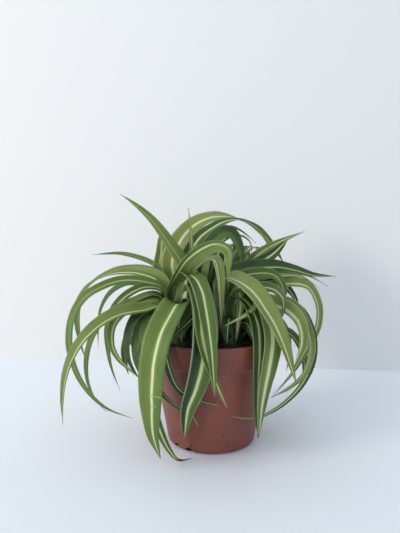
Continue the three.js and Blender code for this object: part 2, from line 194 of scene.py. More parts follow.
mottle, given, result = shader_group("mottle", {"Scale": 40.0, "Contrast": 0.5}, "Tone")
place = add(mottle, "ShaderNodeTexCoord", output="Object")
slow_noise = noise(place, given["Scale"], 4)
fill(result, {0: times_plus(minus(slow_noise, 0.5), given["Contrast"], 0.5)})

soil_dust, given, result = shader_group(
    "soil_dust", {"Full Height": 0.0, "Clear Height": 0.03, "Scale": 300.0}, "Dust")
place = add(soil_dust, "ShaderNodeTexCoord", output="Object")
height = add(soil_dust, "ShaderNodeSeparateXYZ", {0: place}, output="Z")
nearness = add(soil_dust, "ShaderNodeMapRange", {
    "Value": height, "From Min": given["Clear Height"], "From Max": given["Full Height"]})
patches = smooth_step(noise(place, given["Scale"], 5), 0.5, 0.72)
fill(result, {0: times(nearness, patches)})


def shared(tree, group, inputs):
    return add(tree, "ShaderNodeGroup", inputs, node_tree=group)


print("Shader groups:", [group.name for group in (mottle, soil_dust)])

# %% [markdown]
# ## Shapes that are turned on a lathe
# The pot is a solid of revolution. Its profile is a list of radius and height pairs, with arcs
# for the round edges, and the same function turns the soil and the leaf sheaths. Turning it in
# mesh code gives closed poles and even quads, which a Screw modifier leaves to be cleaned up.

# %% Lathe
def arc(radius, height, bend, start, end, steps):
    angles = [math.radians(start + (end - start) * i / steps) for i in range(steps + 1)]
    return [(radius + bend * math.cos(a), height + bend * math.sin(a)) for a in angles]


def turned(name, profile, sides, centre=(0, 0)):
    """A closed mesh from a profile that runs from the axis to the axis, low end first."""
    shape = bmesh.new()
    angles = [math.tau * k / sides for k in range(sides)]
    rings = []
    for radius, height in profile:
        spots = [(centre[0] + radius * math.cos(a), centre[1] + radius * math.sin(a), height)
                 for a in (angles if radius else (0,))]
        rings.append([shape.verts.new(spot) for spot in spots])
    for low, high in zip(rings, rings[1:]):
        for k in range(sides):
            corners = [low[k % len(low)], low[(k + 1) % len(low)],
                       high[(k + 1) % len(high)], high[k % len(high)]]
            shape.faces.new(list(dict.fromkeys(corners))).smooth = True
    mesh = bpy.data.meshes.new(name)
    shape.to_mesh(mesh)
    shape.free()
    return mesh


def triangles_in(piece):
    return sum(len(face.vertices) - 2 for face in piece.data.polygons)


print("A quarter arc:", [(round(r, 2), round(h, 2)) for r, h in arc(1, 0, 1, 0, 90, 2)])

# %% [markdown]
# ## The pot
# A nursery pot is vacuum formed from thin plastic: a tapered wall, a band around the rim that
# steps out so that pots stack, a rolled lip, and a rounded bottom edge. The CAD wall is kept, with
# many more steps in every arc, so that the highlights run round it smoothly.

# %% Pot profile
pot_height = 98 * mm
rim_radius = 60 * mm
base_radius = 43 * mm
base_edge = 5 * mm
band_height = 22 * mm
band_foot = 58.6 * mm
band_step = 1.4 * mm
wall_thickness = 1.3 * mm
floor_thickness = 1.8 * mm
lip = 1.1 * mm
shoulder = pot_height - band_height
shoulder_radius = band_foot - band_step
pot_profile = [
    (0, 0),
    *arc(base_radius - base_edge, base_edge, base_edge, -90, 0, 10),
    (shoulder_radius - 0.3 * mm, shoulder - 0.8 * mm),
    (shoulder_radius, shoulder + 0.1 * mm),
    (band_foot - 0.4 * mm, shoulder + band_step - 0.3 * mm),
    (band_foot, shoulder + band_step + 0.3 * mm),
    *arc(rim_radius - lip, pot_height - lip, lip, 0, 180, 12),
    (rim_radius - 2 * lip, pot_height - 4 * lip),
    (band_foot - wall_thickness, shoulder + 2 * band_step),
    (shoulder_radius - wall_thickness, shoulder),
    *arc(base_radius - wall_thickness - base_edge + floor_thickness, base_edge,
         base_edge - floor_thickness, 0, -90, 5),
    (0, floor_thickness),
]
pot = new_object("pot_shell", turned("pot_shell", pot_profile, 160))
pot_low, pot_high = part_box("pot")
print("Pot:", len(pot_profile), "points; CAD height", round(pot_high.z - pot_low.z, 4))

# %% [markdown]
# The drain holes sit in pairs where the floor meets the wall. Balls cut them out, with a Boolean
# modifier that is applied straight away, so that the piece is a plain mesh again.

# %% Drain holes
drain_radius = 4.6 * mm
drain_ring = 42.2 * mm
drain_angles = (-118, -139, 2, -19, 122, 101)


def applied(piece):
    """Turns the piece's shape with its modifiers into its plain mesh."""
    graph = bpy.context.evaluated_depsgraph_get()
    mesh = bpy.data.meshes.new_from_object(piece.evaluated_get(graph))
    piece.modifiers.clear()
    piece.data = mesh
    mesh.name = piece.name


drain_places = [drain_ring * Vector((math.cos(angle), math.sin(angle), 0))
                for angle in map(math.radians, drain_angles)]
balls = bmesh.new()
for place in drain_places:
    ball = bmesh.ops.create_uvsphere(balls, u_segments=24, v_segments=16, radius=drain_radius)
    bmesh.ops.translate(balls, verts=ball["verts"], vec=place)
cutter = new_object("drain_cutter", bpy.data.meshes.new("drain_cutter"))
balls.to_mesh(cutter.data)
balls.free()
drains = pot.modifiers.new("drains", "BOOLEAN")
drains.object = cutter
drains.operation = "DIFFERENCE"
drains.solver = "EXACT"
applied(pot)
bpy.data.objects.remove(cutter)
for face in pot.data.polygons:
    face.use_smooth = True
pot.data.set_sharp_from_angle(angle=math.radians(35))
print("Pot with drains:", len(pot.data.polygons), "faces")

# %% [markdown]
# ## The soil
# Potting mix fills the pot to a finger below the rim. The bed follows the CAD solid with the same
# broad and narrow lumps. Its rough surface of loose crumbs is laid on top below.

# %% Soil bed
soil_height = 88 * mm
soil_lump = 1.6 * mm
gap = 0.3 * mm


def soil_level(x, y):
    across, along = x / mm, y / mm
    broad = math.sin(0.17 * across + 1) * math.cos(0.21 * along)
    return soil_height + soil_lump * (broad + 0.5 * math.sin(0.43 * along - 0.31 * across))


inner_base = base_radius - wall_thickness - gap
inner_shoulder = shoulder_radius - wall_thickness - gap
soil_radius = inner_shoulder + 0.6 * mm
soil_rings = 26
soil_profile = [
    (0, floor_thickness + gap),
    (inner_base - base_edge + floor_thickness, floor_thickness + gap),
    (inner_base, base_edge),
    (inner_shoulder, shoulder),
    *[(soil_radius * i / soil_rings, soil_height) for i in range(soil_rings, -1, -1)],
]
soil = new_object("soil_bed", turned("soil_bed", soil_profile, 96))
for vertex in soil.data.vertices:
    x, y, z = vertex.co
    if z > soil_height - gap and math.hypot(x, y) < inner_shoulder:
        vertex.co.z = soil_level(x, y)
print("Soil bed:", len(soil.data.vertices), "points")

# %% [markdown]
# Crumbs are one small stone-like lump, laid thousands of times with its own turn and size each
# time. Geometry Nodes scatter them with a fixed seed, and Realize Instances turns them into real
# faces. A lump has twenty faces, because so many copies of a finer one would cost far more than
# they show. The helpers start a tree with named inputs, store a value on its geometry, end it and
# run it on a piece. A piece keeps each input under its socket's identifier, not under its name.

# %% Geometry Nodes helpers
def geometry_tree(name, inputs):
    """An empty tree with a geometry going in and out, and these named inputs beside it."""
    tree = bpy.data.node_groups.new(name, "GeometryNodeTree")
    tree.interface.new_socket("Geometry", in_out="INPUT", socket_type="NodeSocketGeometry")
    for label, kind in inputs.items():
        tree.interface.new_socket(label, in_out="INPUT", socket_type="NodeSocket" + kind)
    tree.interface.new_socket("Geometry", in_out="OUTPUT", socket_type="NodeSocketGeometry")
    return tree, tree.nodes.new("NodeGroupInput").outputs, tree.nodes.new("NodeGroupOutput")


def stored(geometry, name, value, domain="POINT"):
    inputs = {"Geometry": geometry, "Name": name, "Value": value}
    return add(geometry.id_data, "GeometryNodeStoreNamedAttribute", inputs,
               data_type="FLOAT", domain=domain)


def end_tree(result, geometry, material):
    """Makes the instances real faces, gives them the material and hands them out."""
    tree = result.id_data
    real = add(tree, "GeometryNodeRealizeInstances", {"Geometry": geometry})
    done = add(tree, "GeometryNodeSetMaterial", {"Geometry": real, "Material": material})
    fill(result, {"Geometry": done})
    print("Tree", tree.name, "has", len(tree.nodes), "nodes")


def grow(piece, tree, values):
    """Runs the tree on the piece with these inputs and keeps the result as its plain mesh."""
    modifier = piece.modifiers.new(tree.name, "NODES")
    modifier.node_group = tree
    for item in tree.interface.items_tree:
        if item.item_type == "SOCKET" and item.in_out == "INPUT" and item.name in values:
            modifier[item.identifier] = values[item.name]
    applied(piece)


print("Geometry Nodes helpers: geometry_tree, stored, end_tree, grow")

# %% [markdown]
# The crumb tree takes the bed, picks the faces that look up, lays a lump on each random point and
# gives each its own turn, flatness, size and shade. Raising the size's draw to a power makes many
# small crumbs and few large ones.

# %% Crumb tree
crumbs, given, result = geometry_tree("crumbs", {
    "Crumbs Per Square Metre": "Float", "Smallest": "Float", "Largest": "Float", "Seed": "Int",
    "Soil Material": "Material"})


def drawn(low, high, seed, data_type="FLOAT"):
    first = 0 if data_type == "FLOAT_VECTOR" else 2
    return add(crumbs, "FunctionNodeRandomValue", {first: low, first + 1: high, "Seed": seed},
               output=first // 2, data_type=data_type)


up_enough = 0.6
full_turn = 6.28
flattest, roundest = (0.5, 0.5, 0.4), (1.2, 1.0, 0.8)
size_curve = 2.5
normal = add(crumbs, "GeometryNodeInputNormal")
facing = add(crumbs, "ShaderNodeSeparateXYZ", {0: normal}, output="Z")
points = add(crumbs, "GeometryNodeDistributePointsOnFaces", {
    "Mesh": given["Geometry"], "Selection": maths("GREATER_THAN", facing, up_enough),
    "Density": given["Crumbs Per Square Metre"], "Seed": given["Seed"]})
lump = add(crumbs, "GeometryNodeMeshIcoSphere", {"Radius": 0.5, "Subdivisions": 1})
turn = drawn((0, 0, 0), (full_turn, full_turn, full_turn), given["Seed"], "FLOAT_VECTOR")
flatness = drawn(flattest, roundest, 11, "FLOAT_VECTOR")
span = minus(given["Largest"], given["Smallest"])
size = times_plus(maths("POWER", drawn(0.0, 1.0, 23), size_curve), span, given["Smallest"])
laid = add(crumbs, "GeometryNodeInstanceOnPoints", {
    "Points": points, "Instance": lump, "Rotation": turn,
    "Scale": vector_maths("SCALE", flatness, size)})
shaded = stored(laid, "shade", drawn(0.0, 1.0, 37), "INSTANCE")
joined = add(crumbs, "GeometryNodeJoinGeometry")
for part in (given["Geometry"], shaded):
    fill(joined.node, {0: part})
end_tree(result, joined, given["Soil Material"])

# %% [markdown]
# ## Soil finish
# Damp potting mix is nearly black, with lighter bark crumbs. Each crumb's own random shade is an
# attribute, and a fine noise breaks up the bed between them.

# %% Soil material
damp_black = (0.012, 0.008, 0.006)
bark_brown = (0.085, 0.052, 0.032)
bark_rarity = 3.0
soil_material, tree, shader = new_material("damp_soil")
crumb_shade = add(tree, "ShaderNodeAttribute", output="Fac", attribute_name="shade")
grain = shared(tree, mottle, {"Scale": 900.0, "Contrast": 1.6})
bark = times(maths("POWER", crumb_shade, bark_rarity), grain)
rough_grain = add(tree, "ShaderNodeBump", {"Strength": 0.6, "Distance": 0.5 * mm, "Height": grain})
fill(shader, {"Base Color": layer(bark, damp_black, bark_brown), "Roughness": 0.95,
              "Normal": rough_grain})
print("Soil material:", len(tree.nodes), "nodes")

# %% [markdown]
# The tree runs once, on the bed, with crumbs from under a millimetre to about four across, as
# they look beside the leaf feet in the photograph.

# %% Scatter the crumbs
grow(soil, crumbs, {"Crumbs Per Square Metre": 260000.0, "Smallest": 0.9 * mm,
                    "Largest": 4.2 * mm, "Seed": 5, "Soil Material": soil_material})
print("Soil with crumbs:", triangles_in(soil), "triangles")

# %% [markdown]
# ## How a leaf runs
# A spider plant's leaf is a strap that rises from the crown, arches over and hangs down. Here its
# middle line goes through a few marks, in whole millimetres, as in the CAD model. A centripetal
# spline doesn't overshoot at tight bends, and equal steps along it keep the blade's rows even.

# %% Spline through marks
path_steps = 48
spline_steps = 24


def spline(marks):
    points = [2 * marks[0] - marks[1], *marks, 2 * marks[-1] - marks[-2]]
    fine = []
    for p0, p1, p2, p3 in zip(points, points[1:], points[2:], points[3:]):
        t0, t1, t2 = (math.sqrt((b - a).length) for a, b in ((p0, p1), (p1, p2), (p2, p3)))
        start = ((p1 - p0) / t0 - (p2 - p0) / (t0 + t1) + (p2 - p1) / t1) * t1
        end = ((p2 - p1) / t1 - (p3 - p1) / (t1 + t2) + (p3 - p2) / t2) * t1
        cubic, square = 2 * p1 - 2 * p2 + start + end, 3 * p2 - 3 * p1 - 2 * start - end
        for i in range(spline_steps):
            u = i / spline_steps
            fine.append(cubic * u ** 3 + square * u ** 2 + start * u + p1)
    return [*fine, points[-2]]


def even_steps(fine, steps):
    """The points of a line, set again at equal distances along it."""
    reach = [0.0]
    for a, b in zip(fine, fine[1:]):
        reach.append(reach[-1] + (b - a).length)
    places, k = [], 0
    for i in range(steps + 1):
        goal = reach[-1] * i / steps
        while k < len(fine) - 2 and reach[k + 1] < goal:
            k += 1
        share = (goal - reach[k]) / (reach[k + 1] - reach[k])
        places.append(fine[k].lerp(fine[k + 1], share))
    return places, reach[-1]


print("Rows along a leaf:", path_steps + 1)

# %% [markdown]
# The blade needs a sideways direction at each step. It starts level, square to the leaf's heading,
# and is carried along without turning about the line. Bank then lifts the right-hand edge, which
# is what turns a leaf's face to the light.

# %% Frames along a leaf
def leaf_frames(marks, bank):
    places, length = even_steps(spline(marks), path_steps)
    heading = places[path_steps // 2] - places[0]
    heading.z = 0
    side = heading.normalized().cross(Vector((0, 0, 1)))
    frames = []
    for i, place in enumerate(places):
        along = (places[min(i + 1, path_steps)] - places[max(i - 1, 0)]).normalized()
        side = (side - along * side.dot(along)).normalized()
        turn = i / path_steps * (len(bank) - 1)
        step = min(int(turn), len(bank) - 2)
        angle = math.radians(bank[step] + (bank[step + 1] - bank[step]) * (turn - step))
        right = Quaternion(along, -angle) @ side
        frames.append((place, right, right.cross(along)))
    return frames, length


straight = leaf_frames([Vector((0, 0, 0)), Vector((0, -50, 0)), Vector((0, -100, 0))], (0, 0))
print("A level leaf towards the front faces", tuple(round(v, 2) for v in straight[0][0][2]))

# %% [markdown]
# ## The leaves that show
# Each leaf has a width, a taper (high where a blade stays broad for long), its bank from foot to
# tip, its look and its marks. The look is five numbers: tone from dark to yellow green, half width
# of the cream stripe (a little below zero where only a faint rib shows), how far the stripe sits
# from the middle, paleness of the margin, and the dry share at the tip. Some leaves have more:
# scars, a stripe that fades out along the way, one half that is lighter than the other (painted
# light and shade on the two sides of the fold), or a tip that has dried black for most of its
# dry share.

# %% A leaf's record
look_names = ("tone", "stripe", "shift", "pale", "dry", "scarred", "fades", "sides", "burnt")


def leaf(width, taper, bank, look, *marks, scarred=0, fades=2, sides=0.1, burnt=0.25):
    return {"width": width, "taper": taper, "bank": bank, "marks": marks,
            "look": (*look, scarred, fades, sides, burnt)}


print("A leaf's look:", ", ".join(look_names))

# %% [markdown]
# The left crown is the nearest. Its leaves arch out to the left and hang over the front of the pot,
# where the broadest one creased long ago, and one arches over the middle.

# %% Leaves of the left crown
left_leaves = [
    leaf(16, 2.4, (20, 38, 55, 50, 45, 28, 90, 105, 105), (0.64, 0.1, -0.5, 0.1, 0.01),
         (-49, 0, 154), (-67, 8, 163), (-92, 18, 165), (-115, 26, 160), (-134, 28, 147),
         (-143, 26, 129), (-143, 22, 109), (-137, 16, 88), (-130, 12, 72), fades=0.6),
    leaf(10, 3.4, (20, 50, 50, 40), (0.52, 0.12, -0.1, 0.1, 0.02), (-46, -12, 147),
         (-63, -17, 154), (-83, -23, 156), (-100, -30, 151), (-116, -35, 141), (-126, -38, 125),
         (-129, -40, 104), (-125, -42, 82), (-113, -44, 60), (-94, -46, 43), (-70, -47, 34),
         fades=0.4),
    leaf(14, 2.2, (10, 45, 50, 45), (0.74, 0.08, -0.5, 0.1, 0.02), (-46, -22, 131),
         (-64, -34, 130), (-84, -47, 127), (-102, -57, 116), (-115, -64, 99), (-122, -68, 80),
         (-125, -68, 57), (-125, -66, 35)),
    leaf(12, 2.4, (20, 50, 40), (0.3, 0.14, -0.1, 0.3, 0.02), (-47, -8, 144), (-62, -10, 149),
         (-79, -14, 143), (-93, -18, 129), (-99, -21, 110), (-98, -22, 89), (-94, -22, 70),
         (-87, -22, 52), fades=0.55),
    leaf(10, 2.4, (10, 40, 70, 75), (0.4, -0.04, 0, 0.1, 0.02), (-49, 2, 151), (-70, 12, 152),
         (-88, 20, 152), (-107, 26, 143), (-119, 30, 126), (-123, 32, 103), (-123, 32, 81)),
    leaf(10, 2.4, (10, 40, 40), (0.55, 0, 0, 0.3, 0.03), (-51, -16, 141), (-74, -27, 136),
         (-95, -37, 124), (-106, -45, 107), (-110, -50, 89), (-109, -51, 69), (-102, -50, 51),
         (-92, -49, 40)),
    leaf(12, 2.4, (20, 50, 50), (0.75, 0.15, -0.25, 0.5, 0.02), (-53, -20, 136), (-78, -30, 129),
         (-90, -35, 115), (-91, -36, 96), (-84, -34, 82), (-76, -32, 74), (-65, -29, 63)),
    leaf(11, 3, (20, 50, 30), (0.24, -0.04, 0, 0.4, 0.02), (-47, -15, 129), (-57, -21, 130),
         (-68, -26, 125), (-75, -31, 113), (-78, -33, 99), (-77, -32, 85), (-73, -30, 74),
         (-66, -27, 62)),
    leaf(14, 3, (20, 50, 30), (0.28, -0.04, 0, 0.3, 0.02), (-49, -13, 123), (-58, -20, 125),
         (-64, -26, 117), (-68, -30, 104), (-70, -32, 91), (-69, -32, 79), (-65, -31, 66)),
    leaf(14, 3, (30, 20), (0.24, -0.04, 0, 0.3, 0.02), (-49, -18, 131), (-60, -30, 112),
         (-64, -33, 91), (-61, -32, 71)),
    leaf(26.5, 4, (0, 0), (0.55, 0.1, -0.04, 0.1, 0.02), (-30, -36, 134), (-38, -56, 122),
         (-44, -69, 107), (-47, -77, 89), (-48, -80, 69), (-48, -79, 49), (-47, -75, 29),
         (-42, -69, 9), scarred=1, sides=0.16),
    leaf(15, 3, (0, 0, 0, 30), (0.42, 0.17, 0, 0.3, 0.07), (-39, -28, 134), (-47, -46, 112),
         (-52, -58, 84), (-51, -63, 58), (-45, -63, 35), (-37, -61, 15), (-28, -58, 3),
         (-17, -55, 3), burnt=0.9),
    leaf(24, 5.5, (0, 0), (0.26, 0.13, -0.06, 0.5, 0.02), (-16, -20, 146), (-8, -43, 130),
         (-6, -61, 110), (-8, -67, 88), (-13, -67, 68), (-20, -66, 48), (-23, -61, 22),
         sides=-0.34),
    leaf(20, 3.2, (0, 0), (0.46, 0.11, -0.05, 0.5, 0.05), (-24, -20, 159), (-15, -36, 157),
         (-8, -51, 144), (-4, -63, 126), (-1, -70, 107), (1, -74, 88), (2, -75, 73), (3, -74, 60),
         sides=-0.1),
    leaf(15, 3, (0, 0), (0.45, 0.14, 0, 0.3, 0.04), (-18, -24, 149), (-10, -52, 132),
         (-8, -67, 111), (-3, -71, 91), (5, -73, 70), (14, -72, 50)),
    leaf(14, 3.2, (-50, -35, -25, 0, 20), (0.8, 0.14, 0.5, 0.9, 0.02), (-27, -12, 158),
         (-14, -16, 167), (-3, -20, 175), (4, -25, 176), (8, -33, 163), (9, -37, 140),
         (9, -38, 114), sides=-0.42),
    leaf(18, 3.2, (-200, -200, -195, -165, -125, -105, -90), (0.56, 0.13, -0.35, 0.3, 0.03),
         (-41, -18, 144), (-32, -24, 159), (-22, -27, 172), (-8, -27, 183), (6, -27, 188),
         (15, -30, 183), (16, -36, 170), (15, -40, 153), fades=0.74, sides=0.3),
    leaf(9, 2.6, (0, 10, 20), (0.12, 0.12, -0.3, 0.5, 0.05), (-42, -34, 131), (-43, -50, 108),
         (-38, -57, 84), (-29, -59, 64), (-14, -58, 54), (9, -55, 48)),
    leaf(7, 2.6, (0, 10, 20), (0.3, 0.1, -0.3, 0.5, 0.14), (-48, -30, 126), (-52, -48, 95),
         (-47, -55, 66), (-33, -56, 50), (-18, -55, 41), (-9, -50, 24)),
    leaf(11, 3, (0, -10), (0, 0.05, 0, 0.5, 0.03), (-22, -24, 138), (-12, -38, 130),
         (-20, -46, 119), (-32, -50, 108), (-40, -52, 98)),
    leaf(12, 3, (-80, -80, -70, -45, -30), (0.05, 0.08, 0, 0.1, 0.03), (-20, -14, 116),
         (-8, -14, 128), (1, -20, 126), (5, -30, 112), (6, -36, 100)),
    leaf(14, 5, (-137, -137), (0.88, 0.22, 0.45, 0.2, 0.02), (-29, -20, 122), (-28, -20, 140),
         (-26, -19, 155), (-21, -17, 168), sides=0.4),
]
print("Leaves that show on the left crown:", len(left_leaves))

# %% [markdown]
# The middle crown carries two thin upright spears, the high arches over to the right and a twisted
# leaf that turns its underside to the front. Its broad leaves bend away to the back.

# %% Leaves of the middle crown
middle_leaves = [
    leaf(15.5, 2.6, (100, 110, 112), (0.76, 0.02, -0.15, 0.2, 0.03), (-23, 10, 159), (-30, 6, 175),
         (-44, 3, 196), (-59, 0, 216), (-74, -2, 230), (-91, -4, 242), sides=-0.22),
    leaf(8.5, 2.2, (130, 150, 150), (0.85, 0.1, 0.1, 0.1, 0.04), (-18, 8, 174), (-20, 5, 191),
         (-21, 3, 208), (-23, 1, 229)),
    leaf(10, 2.4, (20, -50, -60), (0.52, 0.02, 0, 0.1, 0.03), (-52, 26, 163), (-66, 34, 174),
         (-84, 42, 181), (-105, 48, 185), (-136, 54, 184)),
    leaf(23, 4, (-10, 10, 15, 38, 85, 100), (0.9, 0.14, 0, 0.2, 0.02), (-42, 26, 171),
         (-35, 32, 195), (-17, 38, 216), (4, 44, 225), (28, 50, 224), (51, 56, 214), (69, 62, 197),
         (85, 68, 174), sides=-0.15),
    leaf(16, 3.4, (-60, -50, -50, -10, -50), (0.3, 0.12, 0, 0.4, 0.02), (-28, 16, 170),
         (-22, 18, 185), (-11, 22, 201), (2, 27, 211), (16, 33, 219), (32, 39, 221), (48, 42, 214),
         (59, 43, 201), (66, 43, 186)),
    leaf(16, 7, (-60, -110, -150), (0.38, -0.04, 0.1, 0.2, 0.02), (-8, 14, 174), (0, 18, 194),
         (12, 24, 206), (22, 30, 206), (29, 32, 195), (33, 32, 182), (34, 32, 170), sides=0.3),
    leaf(6, 3, (-20, -40, -40), (0.4, 0.05, 0, 0.4, 0.05), (-15, 30, 175), (-8, 32, 188),
         (1, 35, 201), (10, 38, 210), (19, 40, 214), (29, 42, 212), (40, 44, 205), (50, 45, 196)),
    leaf(6, 2.4, (30, 30), (0.3, 0.2, 0, 0.3, 0.05), (3, 24, 174), (15, 34, 198), (32, 40, 204),
         (43, 42, 197), (45, 42, 179)),
    leaf(17, 3, (60, 60, 20), (1.05, 0.17, 0, 0.2, 0.02), (-55, 30, 164), (-55, 36, 184),
         (-55, 50, 203), (-50, 66, 208), (-45, 80, 198)),
    leaf(20, 3, (55, 55, 20), (0.92, 0.13, 0.1, 0.2, 0.02), (-45, 32, 160), (-44, 38, 177),
         (-41, 52, 192), (-36, 68, 198), (-31, 82, 191)),
    leaf(20, 3, (0, 0), (0.1, 0.1, 0.1, 0.1, 0.02), (-21, 30, 134), (-23, 36, 161), (-24, 50, 184),
         (-20, 70, 197), (-15, 88, 191)),
]
print("Leaves that show on the middle crown:", len(middle_leaves))

# %% [markdown]
# On the right a broad leaf comes forward, a pair hangs straight down, and others loop out and back
# under themselves. The last few are short dark ones deep in the plant, which close the gaps between
# the long leaves: their near-black tone is painted shade. The back crown shows two folded leaves
# that point up to the right.

# %% Leaves of the right and back crowns
right_leaves = [
    leaf(24, 3.4, (-10, -24, -24), (0.86, 0.12, 0.2, 0.4, 0.02), (14, -14, 157), (27, -26, 155),
         (39, -36, 146), (50, -45, 130), (59, -52, 112), (65, -56, 95), (72, -59, 69),
         sides=-0.1),
    leaf(18, 2.6, (-20, -60, -60, -50), (0.24, 0.07, 0.4, 0.1, 0.03), (13, 8, 158), (28, 14, 166),
         (47, 22, 170), (70, 30, 171), (91, 36, 167), (112, 40, 161), (137, 42, 159)),
    leaf(9, 2.4, (-20, -60, -50, -40), (0.72, 0.1, 0, 0.3, 0.04), (29, 4, 153), (52, 12, 158),
         (76, 20, 160), (96, 26, 159), (116, 30, 146)),
    leaf(8, 2.4, (-20, -60, -50, -40), (0.5, 0.12, 0.3, 0.3, 0.04), (28, 16, 159), (54, 28, 164),
         (84, 38, 164), (109, 44, 159), (130, 48, 148)),
    leaf(13, 2.4, (-20, -65, -75, -80), (0.9, 0.16, 0.3, 0.7, 0.02), (29, 6, 142), (56, 14, 147),
         (83, 22, 153), (103, 26, 149), (113, 26, 131), (112, 22, 108), (97, 12, 83), (81, 2, 63),
         (60, -6, 42)),
    leaf(10, 1.9, (-20, -55, -65, -65, -60), (0.35, 0.16, 0.1, 0.3, 0.04), (29, -4, 132),
         (50, -3, 134), (73, -2, 135), (90, -3, 124), (99, -7, 103), (98, -13, 80), (85, -22, 58),
         (62, -34, 41), (37, -45, 34), (15, -53, 39), sides=0.3),
    leaf(12, 3.4, (-10, -50, -50, -50), (0.88, 0.08, 0.3, 0.7, 0.03), (30, -8, 133), (54, -8, 136),
         (77, -10, 133), (90, -14, 116), (95, -19, 93), (88, -23, 70), (73, -27, 57),
         (55, -30, 48)),
    leaf(16, 3.4, (-10, -50, -80, -90), (0.92, 0.22, 0.4, 0.9, 0.03), (30, -12, 132),
         (51, -14, 136), (75, -18, 128), (85, -22, 115), (86, -25, 98), (77, -28, 76)),
    leaf(13, 3, (-60, -70, -80, -80), (0.46, 0.06, 0.1, 0.3, 0.03), (27, 2, 156), (48, 6, 163),
         (66, 10, 160), (74, 8, 145), (70, 3, 132), (69, -2, 116)),
    leaf(13, 3, (0, -30, -60, -70), (0.52, 0.12, 0.2, 0.5, 0.03), (33, 0, 142), (48, -5, 149),
         (62, -12, 147), (69, -19, 138), (68, -24, 127), (64, -27, 118)),
    leaf(14, 3, (-30, -60, -70), (0.15, 0.1, 0.1, 0.2, 0.03), (38, 14, 145), (58, 20, 154),
         (75, 24, 151), (88, 24, 137), (92, 20, 118)),
    leaf(22, 3.4, (-20, 0, 0), (0.15, 0.11, 0.1, 0.2, 0.02), (26, -12, 138), (36, -27, 133),
         (42, -40, 117), (43, -48, 98), (42, -50, 76), (41, -49, 52), (41, -45, 17)),
    leaf(22, 3.4, (-20, -10, -10, 0), (0.55, 0.2, -0.1, 0.3, 0.02), (30, -9, 143), (44, -24, 138),
         (51, -37, 123), (53, -48, 102), (49, -54, 81), (44, -55, 55), (41, -50, 19), sides=0.26),
    leaf(10, 2.4, (-20, 20, 20), (0.98, 0.2, 0, 0.5, 0.03), (24, -8, 144), (37, -20, 144),
         (42, -31, 136), (34, -39, 127), (22, -45, 121), (9, -50, 115)),
    leaf(10, 3, (0, 0), (0.75, 0.25, 0, 0.5, 0.1), (26, -8, 149), (28, -18, 134), (25, -31, 118),
         (22, -43, 100)),
    # Short leaves deep in the plant that close the gaps; their near-black tone is painted shade.
    leaf(12, 3, (0, 10), (0.05, 0.08, 0, 0.1, 0.03), (19, -14, 112), (17, -26, 120),
         (15, -38, 112), (14, -44, 100)),
    leaf(16, 3, (-110, -100, -75, -60), (-0.1, 0.05, 0, 0, 0.03), (30, -12, 112), (42, -24, 110),
         (48, -34, 100)),
    leaf(14, 3, (-145, -130, -60, -30), (-0.08, 0.03, 0, 0, 0.03), (26, -14, 112), (33, -28, 116),
         (37, -40, 106), (38, -46, 101)),
]
back_leaves = [
    leaf(16, 2.3, (-40, -75, -60), (0.78, 0.12, 0.1, 0.5, 0.02), (32, 40, 162), (43, 44, 175),
         (57, 47, 187), (73, 50, 196), (106, 54, 210)),
    leaf(16, 6, (-40, -85, -75), (0.14, 0.11, 0, 0.3, 0.02), (38, 32, 161), (50, 35, 172),
         (66, 38, 182), (85, 42, 200)),
    leaf(20, 3, (40, 40, 0), (0.1, 0.1, 0, 0.1, 0.02), (-2, 44, 133), (-7, 48, 166), (-6, 60, 194),
         (1, 80, 205), (9, 98, 196)),
    leaf(20, 3, (0, 0), (0.3, 0.12, 0.1, 0.1, 0.02), (10, 42, 133), (13, 46, 164), (17, 58, 187),
         (24, 76, 197), (31, 92, 191)),
]
print("Leaves that show on the other crowns:", len(right_leaves), len(back_leaves))

# %% [markdown]
# ## The leaves of the far side
# The side that the photograph doesn't show follows a rule: a leaf leaves the crown at its lift,
# holds that for a while and bends down, each a little different. The draw uses the same seed and
# the same order as the CAD model, so both have the same leaves. A leaf's look follows from its
# width and needs no draw.

# %% One far leaf by rule
seed = 4711
seed_factor = 16807
seed_limit = 2147483647
mark_count = 6
steps_to_a_mark = 4
heading_drift = 12
far_taper = 2.8


def random():
    global seed
    seed = seed * seed_factor % seed_limit
    return seed / seed_limit


def arched_leaf(root, heading, lift, fall, hold, length, width, bank):
    steps = mark_count * steps_to_a_mark
    step = length / steps
    place = Vector(root)
    marks = []
    for i in range(1, steps + 1):
        slope = math.radians(lift - fall * (i / steps) ** hold)
        turn = math.radians(heading + heading_drift * (i / steps))
        place += step * Vector((math.cos(slope) * math.cos(turn),
                                math.cos(slope) * math.sin(turn), math.sin(slope)))
        if i % steps_to_a_mark == 0:
            marks.append(tuple(place))
    own_tone = 0.15 + 0.55 * (width * 7 % 1)
    own_stripe = 0.1 + 0.08 * (width * 3 % 1)
    look = (own_tone, own_stripe, 0.1 * math.sin(width), 0.2, 0.03)
    return leaf(width, far_taper, (0, bank), look, *marks, sides=0.3 * math.sin(width * 5))


print("A far leaf has", mark_count, "marks")

# %% [markdown]
# A group of far leaves fans out between two headings. Each leaf strays a little from its neighbours
# in heading, lift, width, bank and length, and a longer one also falls further.

# %% Groups of far leaves
heading_stray = 12
lift_stray = 16
bank_stray = 50
length_stray = 50
narrowest = 14
width_range = 8


def stray(span):
    return span * (random() - 0.5)


def far_group(root, start, end, count, lift, fall, hold, length):
    leaves = []
    for i in range(count):
        longer = stray(length_stray)
        heading = start + (end - start) * (i + 0.5) / count + stray(heading_stray)
        own_lift = lift + stray(lift_stray)
        own_hold = hold * (0.8 + 0.4 * random())
        width = narrowest + width_range * random()
        leaves.append(arched_leaf(root, heading, own_lift, fall + longer, own_hold,
                                  length + longer, width, stray(bank_stray)))
    return leaves


print("Far leaves are", narrowest, "to", narrowest + width_range, "mm wide")

# %% [markdown]
# The four crowns come together here: where each one stands, the leaves that show, and the groups
# on its far side.

